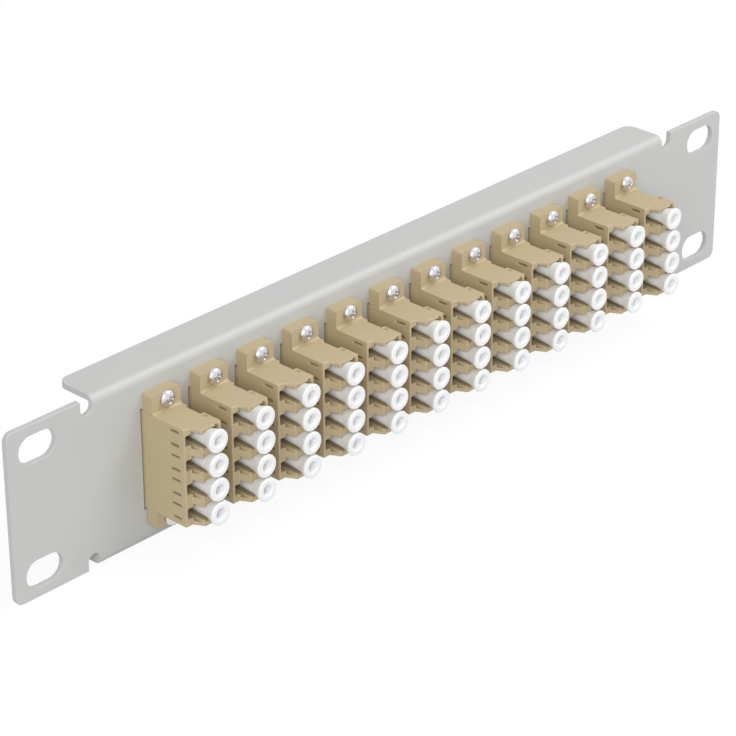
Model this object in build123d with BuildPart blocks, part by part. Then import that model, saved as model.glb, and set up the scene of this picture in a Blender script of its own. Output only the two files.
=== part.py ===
"""Fibre patch panel for a ten-inch rack, one unit high, with twelve four-port adapters.

A bent sheet-steel panel carries a row of upright moulded adapters. Each adapter has four front
ports and four rear ports, is held by two small screws through its ears, and wears a white dust
cap in every port. Frame: X right along the panel, Y back, Z up, millimetres. The origin is the
centre of the panel's front face.
"""

from build123d import *
import os

# Panel blank and folds
PANEL_WIDTH = 254.0
PANEL_HEIGHT = 44.0
SHEET = 1.5
FLANGE_DEPTH = 12.0
PANEL_EAR_LENGTH = 25.3
FLANGE_CORNER_RADIUS = 2.8
BEND_OUTER_RADIUS = 2.0
NOTCH_WIDTH = 3.6
NOTCH_DEPTH = 4.05
EAR_CORNER_RADIUS = 2.2

# Rack slots in the panel's ears
RACK_SLOT_INSET = 8.75
RACK_SPACING_Z = 31.75
RACK_SLOT_LENGTH = 10.8
RACK_SLOT_HEIGHT = 7.0

# Row of adapters
ADAPTERS = 12
ADAPTERS_PER_NODE = 2
ADAPTER_PITCH = 15.0
CUTOUT_CLEARANCE_X = 0.25
CUTOUT_CLEARANCE_Z = 0.5

# Adapter housing: half width towards the latch side (-X) and the plain side (+X)
BODY_LATCH_SIDE = 4.65
BODY_PLAIN_SIDE = 4.75
BODY_HEIGHT = 25.4
BODY_REACH = 14.6
COLLAR_LENGTH = 5.7
COLLAR_STEP = 0.35
EDGE_RELIEF_WIDTH = 0.7
EDGE_RELIEF_DEPTH = 0.5
LATCH_STRIP_WIDTH = 1.9
LATCH_STEP_WIDTH = 1.35
LATCH_STEP_DEPTH = 2.5
TAB_LENGTH = 2.1

# Screw ears of the housing
EAR_THICKNESS = 3.4
EAR_HEIGHT = 34.8
EAR_LATCH_INSET = 0.15
EAR_CORNER = 0.6
EAR_ROOT_RADIUS = 0.6
SCREW_SPACING = 31.0

# Ports: four to a housing, one above the other
PORTS = 4
PORT_PITCH = 6.3
PORT_OFFSET_X = 1.3
PORT_RISE = 0.1
PORT_HALF_HEIGHT = 2.26
PORT_DEPTH_TO_PLAIN_SIDE = 2.7
PORT_SQUARE_TO_LATCH_SIDE = 2.1
NECK_HALF_HEIGHT = 1.7
NECK_END = 2.9
SHOULDER_HALF_HEIGHT = 2.26
SHOULDER_END = 3.9
LATCH_SLOT_HALF_HEIGHT = 1.36
LATCH_SLOT_END = 5.3
CENTRE_WALL = 5.6
REAR_PORT_DEPTH = 3.0

# Latch windows in the housing's latch side, two to a port
WINDOW_OFFSET = 1.8
WINDOW_HEIGHT = 0.6
WINDOW_LENGTH = 3.0
WINDOW_FROM_LATCH_EDGE = 1.85

# Sleeve holder standing in each front port
HOLDER_DIAMETER = 2.8
HOLDER_LENGTH = 4.2

# Dust caps
CAP_FIT = 0.05
CAP_WALL = 0.25
CAP_GRIP = 2.5
CAP_END_GAP = 0.3
CAP_RIM_DIAMETER = 5.9
CAP_PROTRUSION = 2.85
CAP_RIM_LENGTH = 1.1
CAP_FLARE_LENGTH = 2.4
CAP_RECESS_DIAMETER = 2.6
CAP_RECESS_DEPTH = 2.0
REAR_PLUG_DIAMETER = 2.8
REAR_RIM_INSET = 0.1

# Adapter screws
SCREW_DIAMETER = 2.0
SCREW_LENGTH = 6.0
SCREW_HEAD_DIAMETER = 4.0
SCREW_HEAD_HEIGHT = 1.5
SCREW_HEAD_EDGE = 0.6
SCREW_CROWN_DIAMETER = 2.2
EAR_HOLE_CLEARANCE = 0.1
PANEL_HOLE_CLEARANCE = 0.05

# Derived places: the housing is alike in front of and behind the middle of its ears
MIDDLE_Y = -EAR_THICKNESS / 2
FRONT_Y = MIDDLE_Y - BODY_REACH
REAR_Y = MIDDLE_Y + BODY_REACH
PORT_FLOOR_Y = MIDDLE_Y - CENTRE_WALL / 2
HOLDER_TIP_Y = PORT_FLOOR_Y - HOLDER_LENGTH
CAP_INNER_Y = HOLDER_TIP_Y + CAP_GRIP
CAP_END_Y = FRONT_Y - CAP_PROTRUSION
PANEL_PLANE = Plane.XZ


def adapter_x(index):
    """X of one adapter's centre, counted from the left."""
    return (index - (ADAPTERS - 1) / 2) * ADAPTER_PITCH


def port_z(index):
    """Z of one port's axis, counted from the top."""
    return PORT_RISE + ((PORTS - 1) / 2 - index) * PORT_PITCH


def save(piece, name):
    """Label one finished part and write it as a STEP file."""
    piece.part.label = name
    export_step(piece.part, f"parts/{name}.step")


os.makedirs("parts", exist_ok=True)

# Panel: a folded channel between the relief notches, and a flat ear at each end
with BuildPart() as panel:
    flange_length = PANEL_WIDTH - 2 * PANEL_EAR_LENGTH
    flange_z = (PANEL_HEIGHT - SHEET) / 2
    with BuildSketch(Plane.YZ):
        with BuildLine():
            FilletPolyline(
                (FLANGE_DEPTH, flange_z),
                (SHEET / 2, flange_z),
                (SHEET / 2, -flange_z),
                (FLANGE_DEPTH, -flange_z),
                radius=BEND_OUTER_RADIUS - SHEET / 2,
            )
        trace(line_width=SHEET)
    extrude(amount=flange_length / 2, both=True)
    back_corners = panel.edges().filter_by(Axis.Z).group_by(Axis.Y)[-1]
    fillet(back_corners, FLANGE_CORNER_RADIUS)

    notch_x = (flange_length + NOTCH_WIDTH) / 2
    notch_end_z = PANEL_HEIGHT / 2 - NOTCH_DEPTH + NOTCH_WIDTH / 2
    with BuildSketch(PANEL_PLANE) as ears:
        with GridLocations(PANEL_WIDTH - PANEL_EAR_LENGTH, 0, 2, 1):
            Rectangle(PANEL_EAR_LENGTH, PANEL_HEIGHT)
        ends = ears.vertices().group_by(Axis.X)
        fillet(ends[0] + ends[-1], EAR_CORNER_RADIUS)
        with GridLocations(2 * notch_x, PANEL_HEIGHT, 2, 2):
            Rectangle(NOTCH_WIDTH, PANEL_HEIGHT - 2 * notch_end_z, mode=Mode.SUBTRACT)
        with GridLocations(2 * notch_x, 2 * notch_end_z, 2, 2):
            Circle(NOTCH_WIDTH / 2, mode=Mode.SUBTRACT)
    extrude(amount=-SHEET)

    cutout_width = 2 * (max(BODY_LATCH_SIDE, BODY_PLAIN_SIDE) + CUTOUT_CLEARANCE_X)
    cutout_height = BODY_HEIGHT + 2 * CUTOUT_CLEARANCE_Z
    with BuildSketch(PANEL_PLANE):
        with GridLocations(ADAPTER_PITCH, 0, ADAPTERS, 1):
            Rectangle(cutout_width, cutout_height)
        with GridLocations(ADAPTER_PITCH, SCREW_SPACING, ADAPTERS, 2):
            Circle(SCREW_DIAMETER / 2 + PANEL_HOLE_CLEARANCE)
        with GridLocations(PANEL_WIDTH - 2 * RACK_SLOT_INSET, RACK_SPACING_Z, 2, 2):
            SlotOverall(RACK_SLOT_LENGTH, RACK_SLOT_HEIGHT)
    extrude(amount=-SHEET, mode=Mode.SUBTRACT)
save(panel, "panel")

# Adapter housing: one outline for its plan, with the ears, ports and latch windows worked in it
with BuildPart() as housing:
    collar_y = FRONT_Y + COLLAR_LENGTH
    side_x = BODY_PLAIN_SIDE - COLLAR_STEP
    latch_edge_y = FRONT_Y + LATCH_STEP_DEPTH
    strip_x = -BODY_LATCH_SIDE + LATCH_STRIP_WIDTH
    with BuildSketch(Plane.XY):
        with BuildLine():
            Polyline(
                (-BODY_LATCH_SIDE, MIDDLE_Y),
                (-BODY_LATCH_SIDE, latch_edge_y),
                (strip_x, latch_edge_y),
                (strip_x + LATCH_STEP_WIDTH, FRONT_Y),
                (BODY_PLAIN_SIDE, FRONT_Y),
                (BODY_PLAIN_SIDE, collar_y),
                (side_x, collar_y),
                (side_x, MIDDLE_Y),
                close=True,
            )
        make_face()
        mirror(about=Plane.XZ.offset(-MIDDLE_Y))
    extrude(amount=BODY_HEIGHT / 2, both=True)

    relief_start_y = -EAR_THICKNESS - TAB_LENGTH
    relief_length = relief_start_y - collar_y
    relief_spacing_y = 2 * (MIDDLE_Y - relief_start_y) + relief_length
    with BuildSketch(Plane.YZ.offset(side_x - EDGE_RELIEF_WIDTH)):
        with Locations((MIDDLE_Y, 0)):
            with GridLocations(relief_spacing_y, BODY_HEIGHT - EDGE_RELIEF_DEPTH, 2, 2):
                Rectangle(relief_length, EDGE_RELIEF_DEPTH)
    extrude(amount=EDGE_RELIEF_WIDTH, mode=Mode.SUBTRACT)

    ear_width = BODY_LATCH_SIDE - EAR_LATCH_INSET + side_x
    with BuildSketch(PANEL_PLANE):
        with Locations((side_x - ear_width / 2, 0)):
            RectangleRounded(ear_width, EAR_HEIGHT, EAR_CORNER)
    extrude(amount=EAR_THICKNESS)
    ear_front = housing.faces().filter_by(Axis.Y).filter_by_position(Axis.Y, -EAR_THICKNESS, -EAR_THICKNESS)
    ear_roots = ear_front.edges().filter_by(Axis.X).group_by(SortBy.DISTANCE)[0]
    fillet(ear_roots, EAR_ROOT_RADIUS)
    with BuildSketch(PANEL_PLANE):
        with GridLocations(0, SCREW_SPACING, 1, 2):
            Circle(SCREW_DIAMETER / 2 + EAR_HOLE_CLEARANCE)
    extrude(amount=EAR_THICKNESS, mode=Mode.SUBTRACT)

    port_places = [(PORT_OFFSET_X, port_z(port)) for port in range(PORTS)]
    with BuildSketch() as port_shape:
        with BuildLine():
            Polyline(
                (PORT_DEPTH_TO_PLAIN_SIDE, 0),
                (PORT_DEPTH_TO_PLAIN_SIDE, PORT_HALF_HEIGHT),
                (-PORT_SQUARE_TO_LATCH_SIDE, PORT_HALF_HEIGHT),
                (-PORT_SQUARE_TO_LATCH_SIDE, NECK_HALF_HEIGHT),
                (-NECK_END, NECK_HALF_HEIGHT),
                (-NECK_END, SHOULDER_HALF_HEIGHT),
                (-SHOULDER_END, SHOULDER_HALF_HEIGHT),
                (-SHOULDER_END, LATCH_SLOT_HALF_HEIGHT),
                (-LATCH_SLOT_END, LATCH_SLOT_HALF_HEIGHT),
                (-LATCH_SLOT_END, 0),
                close=True,
            )
        make_face()
        mirror(about=Plane.XZ)
    with BuildSketch(PANEL_PLANE.offset(-PORT_FLOOR_Y)):
        with Locations(*port_places):
            add(port_shape.sketch)
    extrude(amount=PORT_FLOOR_Y - FRONT_Y, mode=Mode.SUBTRACT)
    with BuildSketch(PANEL_PLANE.offset(-REAR_Y)):
        with Locations(*port_places):
            add(port_shape.sketch)
    extrude(amount=REAR_PORT_DEPTH, mode=Mode.SUBTRACT)
    with BuildSketch(PANEL_PLANE.offset(-PORT_FLOOR_Y)):
        with Locations(*port_places):
            Circle(HOLDER_DIAMETER / 2)
    extrude(amount=HOLDER_LENGTH)

    window_y = latch_edge_y + WINDOW_FROM_LATCH_EDGE + WINDOW_LENGTH / 2
    window_depth = BODY_LATCH_SIDE + PORT_OFFSET_X - NECK_END
    window_places = [
        (window_y, port_z(port) + side * WINDOW_OFFSET) for port in range(PORTS) for side in (-1, 1)
    ]
    with BuildSketch(Plane.YZ.offset(-BODY_LATCH_SIDE)):
        with Locations(*window_places):
            Rectangle(WINDOW_LENGTH, WINDOW_HEIGHT)
    extrude(amount=window_depth, mode=Mode.SUBTRACT)

for first in range(0, ADAPTERS, ADAPTERS_PER_NODE):
    members = range(first, min(first + ADAPTERS_PER_NODE, ADAPTERS))
    with BuildPart() as adapters:
        with Locations(*[(adapter_x(index), 0, 0) for index in members]):
            add(housing.part)
    save(adapters, f"adapters_{members[0] + 1:02d}_{members[-1] + 1:02d}")

# Front dust cap: a tube that grips the sleeve holder, flaring to a rim with a hollow in its end
with BuildPart() as front_cap:
    bore_radius = HOLDER_DIAMETER / 2 + CAP_FIT
    pin_radius = bore_radius + CAP_WALL
    rim_radius = CAP_RIM_DIAMETER / 2
    rim_y = CAP_END_Y + CAP_RIM_LENGTH
    flare_y = rim_y + CAP_FLARE_LENGTH
    bore_floor_y = HOLDER_TIP_Y - CAP_END_GAP
    with BuildSketch(Plane.XY):
        with BuildLine():
            Polyline(
                (0, bore_floor_y),
                (bore_radius, bore_floor_y),
                (bore_radius, CAP_INNER_Y),
                (pin_radius, CAP_INNER_Y),
                (pin_radius, flare_y),
                (rim_radius, rim_y),
                (rim_radius, CAP_END_Y),
                (CAP_RECESS_DIAMETER / 2, CAP_END_Y),
                (0, CAP_END_Y + CAP_RECESS_DEPTH),
                close=True,
            )
        make_face()
    revolve(axis=Axis.Y)

for index in range(ADAPTERS):
    for port in range(PORTS):
        with BuildPart() as cap:
            with Locations((adapter_x(index) + PORT_OFFSET_X, 0, port_z(port))):
                add(front_cap.part)
        save(cap, f"cap_{index + 1:02d}_{port + 1}")

# Rear dust caps: plain tapered plugs with the same protrusion, on the floor of each rear port
with BuildPart() as rear_cap:
    with BuildSketch(Plane.XZ.offset(REAR_PORT_DEPTH - REAR_Y)):
        Circle(REAR_PLUG_DIAMETER / 2)
    with BuildSketch(Plane.XZ.offset(-REAR_Y - CAP_PROTRUSION)):
        Circle(CAP_RIM_DIAMETER / 2 - REAR_RIM_INSET)
    loft()

with BuildPart() as rear_caps:
    rear_places = [
        (adapter_x(index) + PORT_OFFSET_X, 0, port_z(port))
        for index in range(ADAPTERS)
        for port in range(PORTS)
    ]
    with Locations(*rear_places):
        add(rear_cap.part)
save(rear_caps, "rear_caps")

# Screws: one through each ear of each housing, into a tapped hole in the panel
with BuildPart() as screw:
    seat_y = -EAR_THICKNESS
    head_radius = SCREW_HEAD_DIAMETER / 2
    with BuildSketch(Plane.XY):
        with BuildLine():
            Polyline(
                (0, seat_y - SCREW_HEAD_HEIGHT),
                (0, seat_y + SCREW_LENGTH),
                (SCREW_DIAMETER / 2, seat_y + SCREW_LENGTH),
                (SCREW_DIAMETER / 2, seat_y),
                (head_radius, seat_y),
                (head_radius, seat_y - SCREW_HEAD_EDGE),
                (SCREW_CROWN_DIAMETER / 2, seat_y - SCREW_HEAD_HEIGHT),
                close=True,
            )
        make_face()
    revolve(axis=Axis.Y)

for row, side in (("upper", 1), ("lower", -1)):
    with BuildPart() as screws:
        with Locations(*[(adapter_x(index), 0, side * SCREW_SPACING / 2) for index in range(ADAPTERS)]):
            add(screw.part)
    save(screws, f"screws_{row}")
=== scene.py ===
"""Looks of the fibre patch panel: powder-coated sheet, moulded housings, dust caps and screws."""

import bmesh
import bpy
import math
from mathutils import Matrix, Vector
from mathutils.geometry import intersect_point_line


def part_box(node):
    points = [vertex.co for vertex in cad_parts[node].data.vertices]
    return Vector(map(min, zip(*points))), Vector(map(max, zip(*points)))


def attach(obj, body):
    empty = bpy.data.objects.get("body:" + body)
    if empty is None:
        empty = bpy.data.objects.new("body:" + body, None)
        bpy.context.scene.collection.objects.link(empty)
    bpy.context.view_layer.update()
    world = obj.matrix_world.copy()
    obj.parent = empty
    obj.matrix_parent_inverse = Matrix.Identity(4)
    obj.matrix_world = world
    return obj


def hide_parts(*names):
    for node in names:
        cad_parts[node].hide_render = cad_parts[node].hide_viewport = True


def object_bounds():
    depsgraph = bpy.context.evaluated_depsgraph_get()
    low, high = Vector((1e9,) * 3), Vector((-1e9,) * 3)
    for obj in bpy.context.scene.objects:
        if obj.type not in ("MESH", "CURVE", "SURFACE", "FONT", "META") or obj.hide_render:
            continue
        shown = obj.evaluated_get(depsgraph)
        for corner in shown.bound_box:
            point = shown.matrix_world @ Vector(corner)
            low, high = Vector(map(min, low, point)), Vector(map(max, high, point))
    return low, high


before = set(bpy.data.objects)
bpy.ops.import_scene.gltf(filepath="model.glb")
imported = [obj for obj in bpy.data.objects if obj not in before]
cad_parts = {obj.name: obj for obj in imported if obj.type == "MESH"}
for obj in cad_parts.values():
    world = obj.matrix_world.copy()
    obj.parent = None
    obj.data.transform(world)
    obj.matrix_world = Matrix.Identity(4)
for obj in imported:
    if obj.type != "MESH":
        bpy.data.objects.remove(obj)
cad_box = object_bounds()

# Lengths are in millimetres, except those of the studio, which are in metres
MM = 0.001
ADAPTERS = 12
PORTS = 4
ROOT = "panel_body"

# Camera, solved from the photograph's edges, slots and screws
CAMERA_AZIMUTH = -46.273
CAMERA_ELEVATION = 27.367
CAMERA_ROLL = -0.311
CAMERA_DISTANCE = 744.63
CAMERA_RIGHT = -8.576
CAMERA_UP = -8.177
CAMERA_LENS = 146.505
CAMERA_SENSOR = 36.0
CAMERA_CLIP_START = 50.0
CAMERA_CLIP_END = 20000.0

# How finely round forms are divided: a full turn, a fillet, a screw's dome and a bored hole
TURN_STEPS = 40
ARC_STEPS = 4
DOME_STEPS = 8
BORE_STEPS = 20

# Edge rounding, as left by the powder coat and by the mould: which edges are sharp enough to
# take it, which neighbour goes on nearly in line, and the most of a neighbour that it may use
SHEET_EDGE = 0.24
MOULDED_EDGE = 0.38
SCREW_EDGE = 0.05
EDGE_SEGMENTS = 2
SHARP = math.radians(35)
STRAIGHT_ON = math.radians(140)
ROOM_SHARE = 0.42

# Clearing a CAD copy: points this near are one, and faces this near to flat are one
WELD = 0.0005
FLAT = math.radians(1)

# Dust caps: offset of a cap's axis from its adapter's centre, and the turned form
CAP_OFFSET_X = 1.3
CAP_TUBE_RADIUS = 1.7
CAP_BORE_RADIUS = 1.45
CAP_BORE_DEPTH = 2.8
CAP_RIM_LENGTH = 0.45
CAP_RIM_SLOPE = 0.12
CAP_RIM_ROUNDING = 0.3
CAP_RIM_BACK_ROUNDING = 0.2
CAP_NECK_Y = 2.9
CAP_NECK_RADIUS = 2.17
CAP_NECK_ROUNDING = 7.5
CAP_DISH_MOUTH = 1.4
CAP_DISH_MOUTH_ROUNDING = 0.3
CAP_DISH_FLOOR = 1.0
CAP_DISH_FLOOR_ROUNDING = 0.4
CAP_DISH_DEPTH = 4.0
CAP_END_ROUNDING = 0.1
REAR_PLUG_RADIUS = 1.4

# Screws: pan head with a cross recess that narrows inwards, and a thread on the tip
SEAT_Y = -3.4
HEAD_RADIUS = 2.1
HEAD_HEIGHT = 1.5
HEAD_EDGE = 0.4
HEAD_SEAT_BREAK = 0.06
SHANK_RADIUS = 1.0
SHANK_LENGTH = 6.0
THREAD_PITCH = 0.4
THREAD_DEPTH = 0.13
TIP_BREAK = 0.25
CROSS_SPAN = 2.5
CROSS_WIDTH = 0.6
CROSS_DEPTH = 1.0
CROSS_TAPER = 0.45
CROSS_CUTTER_OVER = 0.3

# Housing details: bore of each sleeve holder, slots in the end walls, pockets in the collar,
# and the block that fills the hollow in the middle
HOLDER_BORE_RADIUS = 0.8
HOLDER_BORE_DEPTH = 3.2
HOLDER_TIP_Y = -8.7
BORE_CUTTER_OVER = 0.5
END_SLOT_X = 3.25
END_SLOT_Z = 11.85
END_SLOT_SIZE = (0.65, 3.2, 1.1)
POCKET_X = 3.8
POCKET_Y = -11.85
POCKET_SIZE = (0.9, 1.5, 0.9)
BODY_HALF_HEIGHT = 12.7
CORE_CENTRE = (-0.9, 0.0, 5.9)
CORE_SIZE = (7.5, 4.7, 12.0)

# Surfaces: how fine the mottling and the grain are, how strongly the grain shows, and how much
# light goes into the caps' plastic, and how deep
MOTTLE_DETAIL = 3.0
GRAIN_DETAIL = 2.0
GRAIN_STRENGTH = 0.5
CAP_LIGHT_SHARE = 0.25
CAP_LIGHT_DEPTH = 0.8

# Sockets of Blender's Mix node, when it mixes colours
MIX_FACTOR = 0
MIX_FIRST = 6
MIX_SECOND = 7
MIX_RESULT = 2

# Studio: light from the white surround, two lamps, and how far the floor shows as plain white
SURROUND = 0.42
OVERHEAD_PLACE = (0.7, -0.6, 1.2)
OVERHEAD_SIZE = 0.9
OVERHEAD_POWER = 11.4
BESIDE_CAMERA_PLACE = (-2.45, -2.0, 1.6)
BESIDE_CAMERA_SIZE = 2.0
BESIDE_CAMERA_POWER = 64.0
FLOOR_HALF_SIZE = 6.0
FLOOR_WHITE = 0.6
FLOOR_ROUGHNESS = 0.9
FLOOR_GLOW = 1.08
FLOOR_GLOW_SHARE = 0.85


def srgb(red, green, blue):
    """A colour given as screen values from 0 to 255, as the linear colour that shaders take."""

    def linear(value):
        share = value / 255
        return share / 12.92 if share <= 0.04045 else ((share + 0.055) / 1.055) ** 2.4

    return (linear(red), linear(green), linear(blue), 1.0)


def surface_material(name, colour, mottle, mottle_scale, grain_depth, grain_scale, roughness):
    """A principled material with slow colour mottling and a fine moulded or sprayed grain."""
    material = bpy.data.materials.new(name)
    material.use_nodes = True
    nodes = material.node_tree.nodes
    links = material.node_tree.links
    shader = nodes["Principled BSDF"]
    shader.inputs["Roughness"].default_value = roughness
    place = nodes.new("ShaderNodeTexCoord")

    slow = nodes.new("ShaderNodeTexNoise")
    slow.inputs["Scale"].default_value = mottle_scale
    slow.inputs["Detail"].default_value = MOTTLE_DETAIL
    links.new(place.outputs["Object"], slow.inputs["Vector"])
    blend = nodes.new("ShaderNodeMix")
    blend.data_type = "RGBA"
    shade = [channel * (1 - mottle) for channel in colour[:3]]
    light = [min(1.0, channel * (1 + mottle)) for channel in colour[:3]]
    blend.inputs[MIX_FIRST].default_value = (*shade, 1.0)
    blend.inputs[MIX_SECOND].default_value = (*light, 1.0)
    links.new(slow.outputs["Fac"], blend.inputs[MIX_FACTOR])
    links.new(blend.outputs[MIX_RESULT], shader.inputs["Base Color"])

    fine = nodes.new("ShaderNodeTexNoise")
    fine.inputs["Scale"].default_value = grain_scale
    fine.inputs["Detail"].default_value = GRAIN_DETAIL
    links.new(place.outputs["Object"], fine.inputs["Vector"])
    bump = nodes.new("ShaderNodeBump")
    bump.inputs["Strength"].default_value = GRAIN_STRENGTH
    bump.inputs["Distance"].default_value = grain_depth * MM
    links.new(fine.outputs["Fac"], bump.inputs["Height"])
    links.new(bump.outputs["Normal"], shader.inputs["Normal"])
    return material


def panel_paint():
    """Light grey powder coat: satin, with a soft orange-peel surface."""
    return surface_material(
        "panel_paint",
        colour=srgb(196, 197, 195),
        mottle=0.012,
        mottle_scale=60,
        grain_depth=0.03,
        grain_scale=1100,
        roughness=0.46,
    )


def housing_plastic():
    """Beige moulded plastic, matt."""
    return surface_material(
        "housing_plastic",
        colour=srgb(191, 174, 139),
        mottle=0.03,
        mottle_scale=180,
        grain_depth=0.02,
        grain_scale=2600,
        roughness=0.52,
    )


def cap_plastic():
    """Soft white plastic that lets a little light through."""
    material = surface_material(
        "cap_plastic",
        colour=srgb(242, 243, 244),
        mottle=0.01,
        mottle_scale=300,
        grain_depth=0.01,
        grain_scale=1800,
        roughness=0.38,
    )
    shader = material.node_tree.nodes["Principled BSDF"]
    shader.inputs["Subsurface Weight"].default_value = CAP_LIGHT_SHARE
    shader.inputs["Subsurface Radius"].default_value = (1.0, 1.0, 1.0)
    shader.inputs["Subsurface Scale"].default_value = CAP_LIGHT_DEPTH * MM
    return material


def screw_steel():
    """Bright zinc-plated steel."""
    material = surface_material(
        "screw_steel",
        colour=srgb(214, 214, 218),
        mottle=0.06,
        mottle_scale=900,
        grain_depth=0.012,
        grain_scale=3000,
        roughness=0.2,
    )
    shader = material.node_tree.nodes["Principled BSDF"]
    shader.inputs["Metallic"].default_value = 1.0
    return material


def give_material(mesh, material):
    """Makes this the mesh's one material."""
    mesh.materials.clear()
    mesh.materials.append(material)
    return mesh


def smooth_shaded(mesh):
    """The mesh shaded smooth, but crisp at its sharp edges."""
    mesh.shade_smooth()
    mesh.set_sharp_from_angle(angle=SHARP)
    return mesh


def placed_object(name, data):
    """A new object, linked into the scene."""
    made = bpy.data.objects.new(name, data)
    bpy.context.scene.collection.objects.link(made)
    return made


def piece(name, mesh, place, body, slot, *nodes):
    """One object of the part: placed, riding on its body and standing for its CAD nodes."""
    made = placed_object(name, mesh)
    made.location = place
    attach(made, body)
    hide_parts(*nodes)
    return made


def mesh_from(work, name):
    """A new mesh with what the work holds; the work is freed."""
    mesh = bpy.data.meshes.new(name)
    work.to_mesh(mesh)
    work.free()
    return mesh


def rounded(corners):
    """Profile points, with each inner corner (radius, y, fillet) rounded by its own fillet."""
    points = []
    for index, (radius, y, fillet) in enumerate(corners):
        corner = Vector((radius, y))
        if fillet == 0:
            points.append(corner)
            continue
        before = (Vector(corners[index - 1][:2]) - corner).normalized()
        after = (Vector(corners[index + 1][:2]) - corner).normalized()
        half = before.angle(after) / 2
        centre = corner + (before + after).normalized() * (fillet / math.sin(half))
        reach = fillet / math.tan(half)
        start = corner + before * reach - centre
        end = corner + after * reach - centre
        turn = start.angle(end)
        for step in range(ARC_STEPS + 1):
            share = step / ARC_STEPS
            mixed = start * math.sin((1 - share) * turn) + end * math.sin(share * turn)
            points.append(centre + mixed / math.sin(turn))
    return points


def turned_mesh(name, points):
    """A closed form turned about Y from (radius, y) points in millimetres that start and end on it."""
    work = bmesh.new()
    angles = [step * math.tau / TURN_STEPS for step in range(TURN_STEPS)]
    rings = []
    for radius, y in points:
        if radius == 0:
            rings.append([work.verts.new((0, y * MM, 0))])
            continue
        ring = [(radius * math.cos(angle) * MM, y * MM, radius * math.sin(angle) * MM) for angle in angles]
        rings.append([work.verts.new(place) for place in ring])
    for first, second in zip(rings, rings[1:]):
        for step in range(TURN_STEPS):
            following = (step + 1) % TURN_STEPS
            corners = [
                first[step % len(first)],
                first[following % len(first)],
                second[following % len(second)],
                second[step % len(second)],
            ]
            work.faces.new(list(dict.fromkeys(corners)))
    bmesh.ops.recalc_face_normals(work, faces=work.faces)
    return mesh_from(work, name)


def baked(scratch, name):
    """The mesh of a scratch object with its modifiers applied; the object is removed."""
    shown = bpy.context.evaluated_depsgraph_get()
    shown.update()
    mesh = bpy.data.meshes.new_from_object(scratch.evaluated_get(shown))
    mesh.name = name
    bpy.data.objects.remove(scratch)
    return mesh


def combined(mesh, other_mesh, operation, name):
    """The mesh joined with the other one, or less it."""
    body = placed_object("scratch", mesh)
    other = placed_object("scratch", other_mesh)
    boolean = body.modifiers.new("combine", "BOOLEAN")
    boolean.operation = operation
    boolean.solver = "EXACT"
    boolean.object = other
    result = baked(body, name)
    bpy.data.objects.remove(other)
    return result


def turn_between(edge, beside, vertex):
    """Angle between two edges as they leave a vertex: a half turn where one goes on in line."""
    along = edge.other_vert(vertex).co - vertex.co
    away = beside.other_vert(vertex).co - vertex.co
    return along.angle(away)


def chains_of(edges):
    """The edges in groups that each go on nearly in line, so that a group is rounded alike."""
    left = set(edges)
    while left:
        chain = [left.pop()]
        for edge in chain:
            for vertex in edge.verts:
                for beside in vertex.link_edges:
                    if beside in left and turn_between(edge, beside, vertex) >= STRAIGHT_ON:
                        left.remove(beside)
                        chain.append(beside)
        yield chain


def gap_to_edge(point, edge):
    """Distance from a point to the nearest place on an edge."""
    start, end = (vertex.co for vertex in edge.verts)
    share = intersect_point_line(point, start, end)[1]
    return (start.lerp(end, min(1.0, max(0.0, share))) - point).length


def room_between(edge, beside):
    """How far one edge of a face lies from another, or the other's far end where they meet."""
    for vertex in edge.verts:
        if vertex in beside.verts:
            turn = turn_between(edge, beside, vertex)
            return beside.calc_length() * math.sin(turn) if turn < STRAIGHT_ON else math.inf
    gaps = [gap_to_edge(vertex.co, beside) for vertex in edge.verts]
    gaps += [gap_to_edge(vertex.co, edge) for vertex in beside.verts]
    return min(gaps)


def room_beside(chain):
    """The room for rounding on the faces along a chain of edges."""
    members = set(chain)
    rooms = [
        room_between(edge, beside)
        for edge in chain
        for face in edge.link_faces
        for beside in face.edges
        if beside not in members
    ]
    return min(rooms, default=math.inf)


def soften(mesh, width, name):
    """The mesh with its sharp edges rounded by a width in millimetres, or less on a narrow face."""
    work = bmesh.new()
    work.from_mesh(mesh)
    bmesh.ops.dissolve_limit(work, angle_limit=FLAT, verts=work.verts, edges=work.edges)
    weight = work.edges.layers.float.new("bevel_weight_edge")
    sharp = [edge for edge in work.edges if edge.is_manifold and edge.calc_face_angle() > SHARP]
    for chain in chains_of(sharp):
        share = min(1.0, ROOM_SHARE * room_beside(chain) / (width * MM))
        for edge in chain:
            edge[weight] = share
    work.to_mesh(mesh)
    work.free()
    for polygon in mesh.polygons:
        polygon.use_smooth = True
    body = placed_object("scratch", mesh)
    bevel = body.modifiers.new("edges", "BEVEL")
    bevel.width = width * MM
    bevel.segments = EDGE_SEGMENTS
    bevel.limit_method = "WEIGHT"
    bevel.use_clamp_overlap = False
    bevel.loop_slide = False
    normals = body.modifiers.new("normals", "WEIGHTED_NORMAL")
    normals.weight = 100
    return baked(body, name)


def cad_copy(node, keep=None):
    """A welded copy of a CAD node's mesh, or of the part of it whose points pass the test."""
    work = bmesh.new()
    work.from_mesh(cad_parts[node].data)
    bmesh.ops.remove_doubles(work, verts=work.verts, dist=WELD * MM)
    if keep:
        away = [vertex for vertex in work.verts if not keep(vertex.co)]
        bmesh.ops.delete(work, geom=away, context="VERTS")
    return mesh_from(work, node + "_copy")


def adapter_x(index):
    """X of an adapter's centre in metres, from its top cap in the frame."""
    low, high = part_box(f"cap_{index + 1:02d}_1")
    return (low.x + high.x) / 2 - CAP_OFFSET_X * MM


def cap_place(index, port):
    """Middle of one cap's front end."""
    low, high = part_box(f"cap_{index + 1:02d}_{port + 1}")
    return Vector(((low.x + high.x) / 2, low.y, (low.z + high.z) / 2))


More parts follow.
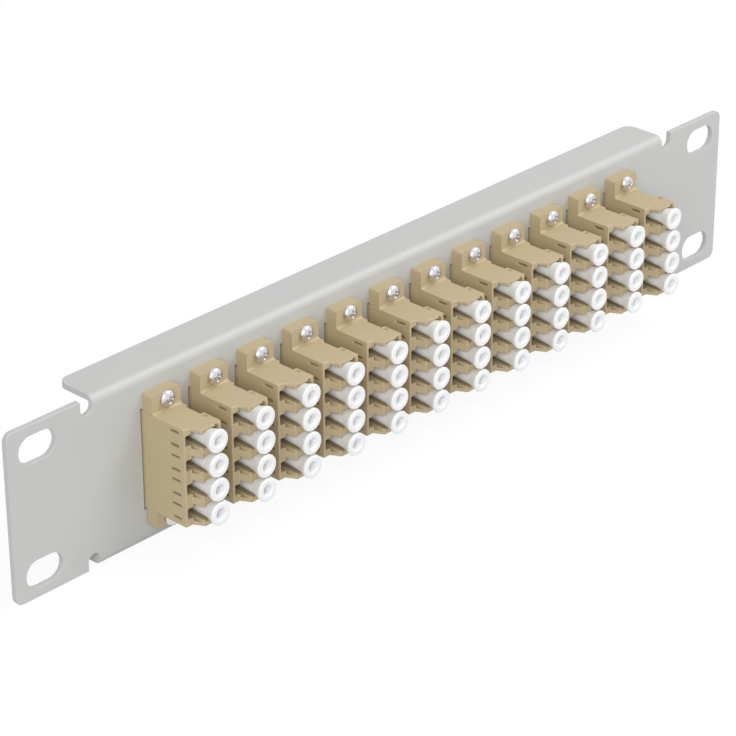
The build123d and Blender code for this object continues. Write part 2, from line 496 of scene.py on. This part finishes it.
def make_panel(material):
    """The folded sheet, as in the CAD but with rounded edges."""
    mesh = give_material(soften(cad_copy("panel"), SHEET_EDGE, "panel_sheet"), material)
    piece("panel_sheet", mesh, (0, 0, 0), ROOT, "panel_paint", "panel")


def add_box(work, centre_x, centre, extents):
    """Adds a box to the work, at millimetres from an adapter's centre."""
    place = Matrix.Translation(Vector((centre_x, 0, 0)) + Vector(centre) * MM)
    size = Matrix.Diagonal([extent * MM for extent in extents]).to_4x4()
    bmesh.ops.create_cube(work, size=1, matrix=place @ size)


def add_bore(work, cap, y, radius, depth):
    """Adds a round bar to the work, on a cap's axis and back from y by its depth."""
    turn = Matrix.Rotation(math.pi / 2, 4, "X")
    place = Matrix.Translation(Vector((cap.x, (y + depth / 2) * MM, cap.z))) @ turn
    bmesh.ops.create_cone(
        work,
        cap_ends=True,
        segments=BORE_STEPS,
        radius1=radius * MM,
        radius2=radius * MM,
        depth=depth * MM,
        matrix=place,
    )


def core_filling(centre_x):
    """Fills the hollow that the CAD housing has in its middle and the real one lacks."""
    work = bmesh.new()
    add_box(work, centre_x, CORE_CENTRE, CORE_SIZE)
    return mesh_from(work, "core_filling")


def housing_cutters(centre_x, caps):
    """What the CAD housing leaves out: bores of the sleeve holders and small moulding details."""
    work = bmesh.new()
    bore_start_y = HOLDER_TIP_Y - BORE_CUTTER_OVER
    for cap in caps:
        add_bore(work, cap, bore_start_y, HOLDER_BORE_RADIUS, HOLDER_BORE_DEPTH + BORE_CUTTER_OVER)
    front_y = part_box("adapters_01_02")[0].y / MM
    for side in (-1, 1):
        add_box(work, centre_x, (END_SLOT_X, front_y, side * END_SLOT_Z), END_SLOT_SIZE)
        add_box(work, centre_x, (POCKET_X, POCKET_Y, side * BODY_HALF_HEIGHT), POCKET_SIZE)
    return mesh_from(work, "housing_cutters")


def make_housings(material):
    """One finished housing, shared by the twelve adapters."""
    first_x = adapter_x(0)
    halfway = (first_x + adapter_x(1)) / 2
    copy = cad_copy("adapters_01_02", keep=lambda point: point.x < halfway)
    caps = [cap_place(0, port) for port in range(PORTS)]
    filled = combined(copy, core_filling(first_x), "UNION", "housing_filled")
    detailed = combined(filled, housing_cutters(first_x, caps), "DIFFERENCE", "housing_detailed")
    mesh = give_material(soften(detailed, MOULDED_EDGE, "housing"), material)
    for index in range(ADAPTERS):
        pair = index // 2 * 2 + 1
        node = f"adapters_{pair:02d}_{pair + 1:02d}"
        shift = adapter_x(index) - first_x
        piece(f"housing_{index + 1:02d}", mesh, (shift, 0, 0), ROOT, "housing_plastic", node)


def dished_end(rim_radius):
    """The profile of a cap's end, from the dish's floor to the back of the rounded rim."""
    return [
        (0, CAP_DISH_DEPTH, 0),
        (CAP_DISH_FLOOR, CAP_DISH_DEPTH, CAP_DISH_FLOOR_ROUNDING),
        (CAP_DISH_MOUTH, 0, CAP_DISH_MOUTH_ROUNDING),
        (rim_radius - CAP_RIM_SLOPE, 0, CAP_RIM_ROUNDING),
        (rim_radius, CAP_RIM_LENGTH, CAP_RIM_BACK_ROUNDING),
    ]


def make_front_caps(material):
    """One cap, shared by the 48 front ports: rim, cone to the port's mouth, and bored tube."""
    low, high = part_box("cap_01_1")
    rim_radius = (high.x - low.x) / 2 / MM
    length = (high.y - low.y) / MM
    corners = dished_end(rim_radius)
    corners += [
        (CAP_NECK_RADIUS, CAP_NECK_Y, CAP_NECK_ROUNDING),
        (CAP_TUBE_RADIUS, length, CAP_END_ROUNDING),
        (CAP_BORE_RADIUS, length, CAP_END_ROUNDING),
        (CAP_BORE_RADIUS, length - CAP_BORE_DEPTH, 0),
        (0, length - CAP_BORE_DEPTH, 0),
    ]
    mesh = give_material(turned_mesh("front_cap", rounded(corners)), material)
    smooth_shaded(mesh)
    for index in range(ADAPTERS):
        for port in range(PORTS):
            node = f"cap_{index + 1:02d}_{port + 1}"
            piece(f"dust_{node}", mesh, cap_place(index, port), node, "cap_plastic", node)


def make_rear_caps(material):
    """One plain plug, shared by the 48 rear ports, each opposite a front cap."""
    low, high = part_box("rear_caps")
    end_y = high.y
    length = (high.y - low.y) / MM
    first = cap_place(0, 0)
    rim_radius = (high.z - first.z) / MM
    corners = dished_end(rim_radius)
    corners += [(REAR_PLUG_RADIUS, length, CAP_END_ROUNDING), (0, length, 0)]
    points = [Vector((point.x, -point.y)) for point in rounded(corners)]
    mesh = give_material(turned_mesh("rear_cap", points), material)
    smooth_shaded(mesh)
    for index in range(ADAPTERS):
        for port in range(PORTS):
            front = cap_place(index, port)
            name = f"rear_cap_{index + 1:02d}_{port + 1}"
            piece(name, mesh, (front.x, end_y, front.z), ROOT, "cap_plastic", "rear_caps")


def cross_cutter():
    """A tapered cross that cuts the screw's recess; its arms shorten inwards more than they narrow."""
    work = bmesh.new()
    rings = []
    wide_y = -HEAD_HEIGHT - CROSS_CUTTER_OVER
    narrow_y = -HEAD_HEIGHT + CROSS_DEPTH
    for y, scale in ((wide_y, 1.0), (narrow_y, CROSS_TAPER)):
        arm = CROSS_SPAN / 2 * scale
        half = CROSS_WIDTH / 2 * (1 + scale) / 2
        outline = [
            (half, half), (half, arm), (-half, arm), (-half, half), (-arm, half), (-arm, -half),
            (-half, -half), (-half, -arm), (half, -arm), (half, -half), (arm, -half), (arm, half),
        ]
        rings.append([work.verts.new((x * MM, y * MM, z * MM)) for x, z in outline])
    count = len(rings[0])
    for index in range(count):
        following = (index + 1) % count
        work.faces.new([rings[0][index], rings[0][following], rings[1][following], rings[1][index]])
    work.faces.new(rings[0])
    work.faces.new(rings[1])
    bmesh.ops.recalc_face_normals(work, faces=work.faces)
    return mesh_from(work, "cross_cutter")


def screw_profile():
    """Pan head, shank and threaded tip; y is 0 at the seat under the head."""
    points = []
    dome = HEAD_HEIGHT - HEAD_EDGE
    for step in range(DOME_STEPS + 1):
        angle = step / DOME_STEPS * math.pi / 2
        points.append((HEAD_RADIUS * math.sin(angle), -HEAD_EDGE - dome * math.cos(angle)))
    points += [
        (HEAD_RADIUS, -HEAD_SEAT_BREAK),
        (HEAD_RADIUS - HEAD_SEAT_BREAK, 0),
        (SHANK_RADIUS, 0),
    ]
    y = -SEAT_Y
    while y < SHANK_LENGTH - 1.5 * THREAD_PITCH:
        points.append((SHANK_RADIUS, y))
        points.append((SHANK_RADIUS - THREAD_DEPTH, y + THREAD_PITCH / 2))
        y += THREAD_PITCH
    points += [(SHANK_RADIUS, y), (SHANK_RADIUS - TIP_BREAK, SHANK_LENGTH), (0, SHANK_LENGTH)]
    return points


def make_screws(material):
    """One screw, shared by the two rows of twelve."""
    blank = turned_mesh("screw_blank", screw_profile())
    crossed = combined(blank, cross_cutter(), "DIFFERENCE", "screw")
    mesh = give_material(soften(crossed, SCREW_EDGE, "screw"), material)
    smooth_shaded(mesh)
    for row in ("upper", "lower"):
        node = f"screws_{row}"
        low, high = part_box(node)
        z = (low.z + high.z) / 2
        for index in range(ADAPTERS):
            name = f"screw_{row}_{index + 1:02d}"
            piece(name, mesh, (adapter_x(index), SEAT_Y * MM, z), ROOT, "screw_steel", node)


def make_camera():
    """The photograph's viewpoint: the camera looks past the part's origin, a little to its side."""
    azimuth = math.radians(CAMERA_AZIMUTH)
    elevation = math.radians(CAMERA_ELEVATION)
    roll = math.radians(CAMERA_ROLL)
    back = Vector((
        math.sin(azimuth) * math.cos(elevation),
        -math.cos(azimuth) * math.cos(elevation),
        math.sin(elevation),
    ))
    level_right = Vector((math.cos(azimuth), math.sin(azimuth), 0))
    level_up = back.cross(level_right)
    right = level_right * math.cos(roll) + level_up * math.sin(roll)
    up = level_up * math.cos(roll) - level_right * math.sin(roll)
    place = (back * CAMERA_DISTANCE + right * CAMERA_RIGHT + up * CAMERA_UP) * MM
    data = bpy.data.cameras.new("camera")
    data.lens = CAMERA_LENS
    data.sensor_width = CAMERA_SENSOR
    data.clip_start = CAMERA_CLIP_START * MM
    data.clip_end = CAMERA_CLIP_END * MM
    camera = placed_object("camera", data)
    columns = Matrix((right, up, back)).transposed().to_4x4()
    camera.matrix_world = Matrix.Translation(place) @ columns
    bpy.context.scene.camera = camera


def area_light(name, place, size, power):
    """A soft square white lamp aimed at the part."""
    data = bpy.data.lights.new(name, "AREA")
    data.shape = "SQUARE"
    data.size = size
    data.energy = power
    lamp = placed_object(name, data)
    lamp.location = place
    lamp.rotation_euler = Vector(place).to_track_quat("Z", "Y").to_euler()


def seen_directly(nodes, links, ray):
    """1 for rays that show the backdrop as it is: from the camera, a reflection or clear plastic."""
    seen = ray.outputs["Is Camera Ray"]
    for name in ("Is Glossy Ray", "Is Transmission Ray"):
        either = nodes.new("ShaderNodeMath")
        either.operation = "MAXIMUM"
        links.new(seen, either.inputs[0])
        links.new(ray.outputs[name], either.inputs[1])
        seen = either.outputs[0]
    return seen


def floor_white():
    """A white floor surface that glows plain white where it is seen, yet takes a pale shadow."""
    material = bpy.data.materials.new("floor_white")
    material.use_nodes = True
    nodes = material.node_tree.nodes
    links = material.node_tree.links
    shader = nodes["Principled BSDF"]
    shader.inputs["Base Color"].default_value = (FLOOR_WHITE, FLOOR_WHITE, FLOOR_WHITE, 1.0)
    shader.inputs["Roughness"].default_value = FLOOR_ROUGHNESS
    glow = nodes.new("ShaderNodeEmission")
    glow.inputs["Strength"].default_value = FLOOR_GLOW
    ray = nodes.new("ShaderNodeLightPath")
    share = nodes.new("ShaderNodeMath")
    share.operation = "MULTIPLY"
    share.inputs[1].default_value = FLOOR_GLOW_SHARE
    links.new(seen_directly(nodes, links, ray), share.inputs[0])
    blend = nodes.new("ShaderNodeMixShader")
    links.new(share.outputs[0], blend.inputs[0])
    links.new(shader.outputs[0], blend.inputs[1])
    links.new(glow.outputs[0], blend.inputs[2])
    links.new(blend.outputs[0], nodes["Material Output"].inputs["Surface"])
    return material


def make_floor():
    """The floor, at the height of the lower flange."""
    work = bmesh.new()
    place = Matrix.Translation(Vector((0, 0, cad_box[0].z)))
    bmesh.ops.create_grid(work, x_segments=1, y_segments=1, size=FLOOR_HALF_SIZE, matrix=place)
    floor = placed_object("floor", give_material(mesh_from(work, "floor"), floor_white()))


def make_light():
    """A pale studio: an even white surround and large soft lamps in front and above."""
    world = bpy.data.worlds.new("studio")
    bpy.context.scene.world = world
    world.use_nodes = True
    nodes = world.node_tree.nodes
    links = world.node_tree.links
    surround = nodes["Background"]
    surround.inputs["Color"].default_value = (1.0, 1.0, 1.0, 1.0)
    surround.inputs["Strength"].default_value = SURROUND
    backdrop = nodes.new("ShaderNodeBackground")
    backdrop.inputs["Color"].default_value = (1.0, 1.0, 1.0, 1.0)
    backdrop.inputs["Strength"].default_value = 1.0
    ray = nodes.new("ShaderNodeLightPath")
    blend = nodes.new("ShaderNodeMixShader")
    links.new(seen_directly(nodes, links, ray), blend.inputs[0])
    links.new(surround.outputs[0], blend.inputs[1])
    links.new(backdrop.outputs[0], blend.inputs[2])
    links.new(blend.outputs[0], nodes["World Output"].inputs["Surface"])
    area_light("overhead", OVERHEAD_PLACE, OVERHEAD_SIZE, OVERHEAD_POWER)
    area_light("beside_camera", BESIDE_CAMERA_PLACE, BESIDE_CAMERA_SIZE, BESIDE_CAMERA_POWER)


make_panel(panel_paint())
make_housings(housing_plastic())
white = cap_plastic()
make_front_caps(white)
make_rear_caps(white)
make_screws(screw_steel())
make_floor()
make_camera()
make_light()
bpy.context.scene.view_settings.view_transform = "Standard"
